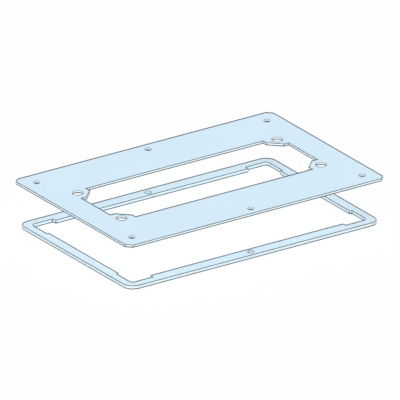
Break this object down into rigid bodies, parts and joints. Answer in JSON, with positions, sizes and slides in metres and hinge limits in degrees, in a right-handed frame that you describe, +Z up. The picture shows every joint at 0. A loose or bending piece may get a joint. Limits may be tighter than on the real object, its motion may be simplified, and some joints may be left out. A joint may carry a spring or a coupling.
{
  "type": "cable entry plate",
  "caption": "Flat steel cable entry plate with an entry cut-out, corner tabs and screw holes, lifted off the ring seal that lies under it.",
  "frame": {"origin": "centre of the seal's underside, on the surface that it lies on, straight below the middle of the plate's entry cut-out", "axes": "+X along the plate's long side, +Y along its short side, +Z up, from the seal to the plate"},
  "size_m": [0.3126, 0.206, 0.0505],
  "materials": {
    "plate": "pale blue powder coat, satin, thinner at the punched edges",
    "seal": "pale blue closed-cell rubber, matt"
  },
  "bodies": {
    "root": {"plate": "plate", "seal": "seal"}
  },
  "joints": []
}
